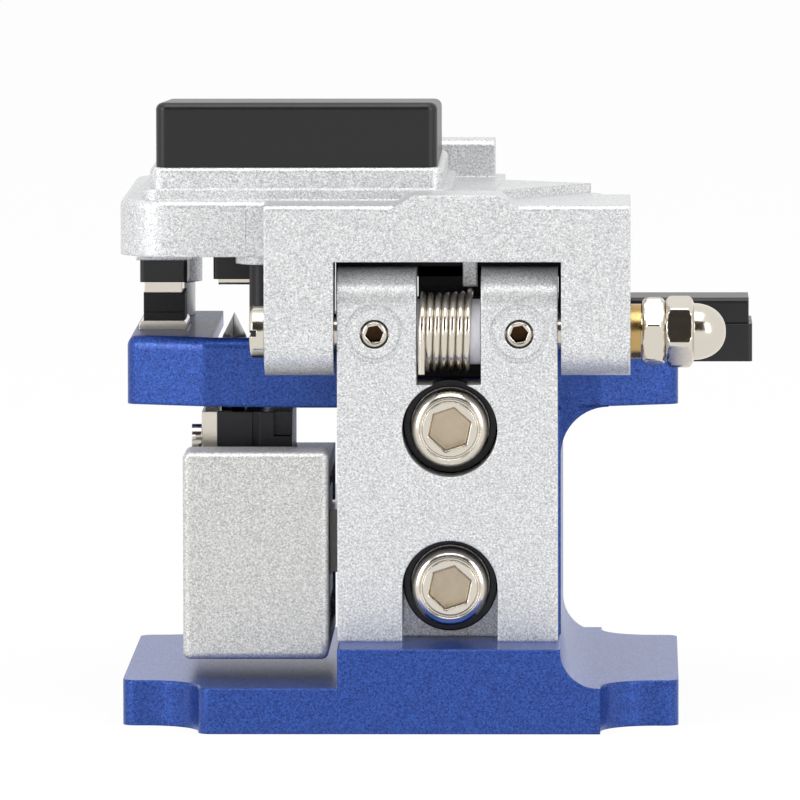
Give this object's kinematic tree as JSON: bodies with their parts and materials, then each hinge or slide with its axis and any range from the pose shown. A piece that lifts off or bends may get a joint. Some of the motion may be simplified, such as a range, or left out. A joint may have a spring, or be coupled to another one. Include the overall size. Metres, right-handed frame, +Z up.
{
  "type": "fibre cleaver",
  "caption": "Compact bench fibre cleaver with a hinged clamp lever, a sliding round blade on a rail, a sprung anvil side and a side fibre holder on a footed metal body.",
  "frame": {"origin": "centre of the foot's underside", "axes": "+Z up, operator on the -Y side, lever hinge on the +Y side, blade slider on the +X side, fibre holder on the -X side"},
  "size_m": [0.0701, 0.063, 0.0681],
  "materials": {
    "blue_paint": "metallic gloss",
    "silver_paint": "metallic satin",
    "slider_silver": "metallic satin",
    "nickel": "polished",
    "steel": "ground",
    "dark_steel": "black oxide",
    "brass": "turned",
    "nylon": "natural",
    "black_plastic": "satin",
    "black_rubber": "matt",
    "magnet": "nickel plated",
    "carbide": "polished"
  },
  "bodies": {
    "base": {"base_body": "blue_paint", "hinge_bracket": "silver_paint", "bracket_screws": "nickel", "set_screws": "nickel", "hinge_pin": "nickel", "hinge_jam_nut": "nickel", "hinge_acorn_nut": "nickel", "torsion_spring": "nickel", "spring_spool": "nylon", "guide_rail": "steel", "rail_screws": "dark_steel", "lower_clamp_seats": "steel", "lower_clamp_rubbers": "black_rubber", "keeper_pillar": "steel", "holder_base": "black_plastic", "holder_screws": "dark_steel", "holder_lid_pin": "steel"},
    "lever": {"lever_arm": "silver_paint", "lever_pad": "black_plastic", "pad_screws": "dark_steel", "lever_bushes": "brass", "stop_screw": "dark_steel", "lever_magnet": "magnet", "anvil_block": "black_plastic", "anvil_tip": "nickel", "upper_clamp_blocks": "black_plastic"},
    "outer_clamp": {"outer_clamp_plunger": "nickel", "outer_clamp_rubber": "black_rubber"},
    "inner_clamp": {"inner_clamp_plunger": "nickel", "inner_clamp_rubber": "black_rubber"},
    "lid": {"holder_lid": "black_plastic", "holder_rubber": "black_rubber"},
    "slider": {"slider_housing": "slider_silver", "slider_carriage": "steel", "slider_screws": "dark_steel", "blade_holder": "dark_steel", "blade_holder_screws": "dark_steel", "blade_plate": "nickel", "height_screw": "nickel", "blade_screw": "dark_steel"},
    "blade": {"cutting_blade": "carbide"}
  },
  "joints": [
    {"name": "lever_hinge", "type": "hinge", "parent": "base", "child": "lever", "pos_m": [0, 0.0195, 0.0432], "axis": [-1, 0, 0], "range_deg": [0, 65]},
    {"name": "outer_clamp_float", "type": "slide", "parent": "lever", "child": "outer_clamp", "axis": [0, 0, 1], "range_m": [0, 0.001], "stiffness_N_per_m": 300, "springref_m": -0.002},
    {"name": "inner_clamp_float", "type": "slide", "parent": "lever", "child": "inner_clamp", "axis": [0, 0, 1], "range_m": [0, 0.001], "stiffness_N_per_m": 300, "springref_m": -0.002},
    {"name": "holder_lid_hinge", "type": "hinge", "parent": "base", "child": "lid", "pos_m": [-0.027, -0.0091, 0.0428], "axis": [1, 0, 0], "range_deg": [0, 100]},
    {"name": "slider_travel", "type": "slide", "parent": "base", "child": "slider", "axis": [0, -1, 0], "range_m": [0, 0.012]},
    {"name": "blade_index", "type": "hinge", "parent": "slider", "child": "blade", "pos_m": [0.019, 0, 0.0358], "axis": [1, 0, 0], "continuous": true}
  ]
}
